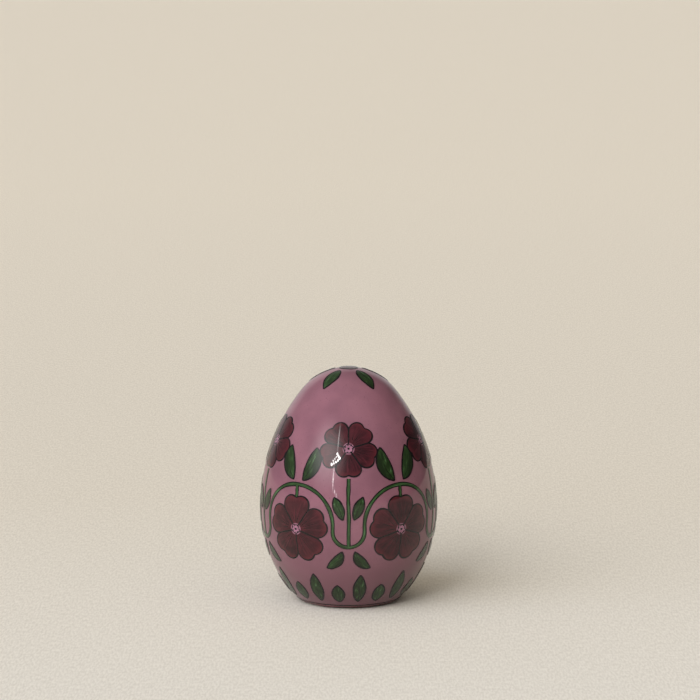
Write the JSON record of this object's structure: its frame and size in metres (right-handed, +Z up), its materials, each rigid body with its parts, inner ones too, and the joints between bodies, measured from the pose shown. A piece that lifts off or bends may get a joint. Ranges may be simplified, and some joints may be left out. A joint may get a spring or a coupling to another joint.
{
  "type": "ceramic egg",
  "caption": "Hollow glazed ceramic egg that stands on a flat foot, painted with roses on a waving vine.",
  "frame": {"origin": "centre of the flat foot, on the surface that the egg stands on", "axes": "+Z up along the egg's axis to its crown, -Y towards the pictured front, +X to the viewer's right of that front"},
  "size_m": [0.0666, 0.0665, 0.0882],
  "materials": {
    "bisque": "matt unglazed clay, fired",
    "mauve_glaze": "glossy mauve ground glaze",
    "leaf_green": "dark green painted under a clear gloss",
    "vine_green": "mid green painted under a clear gloss",
    "petal_maroon": "brushed maroon under a clear gloss",
    "dark_line": "near-black line work under a clear gloss",
    "eye_pink": "pale pinkish mauve under a clear gloss"
  },
  "bodies": {
    "root": {"clay_body": "bisque", "ground_glaze": "mauve_glaze", "foot_band": "dark_line", "vine": "vine_green", "leaves": "leaf_green", "leaf_lines": "dark_line", "petals": "petal_maroon", "petal_lines": "dark_line", "rose_eyes": "eye_pink", "stamens": "dark_line", "crown_bud": "petal_maroon"}
  },
  "joints": []
}
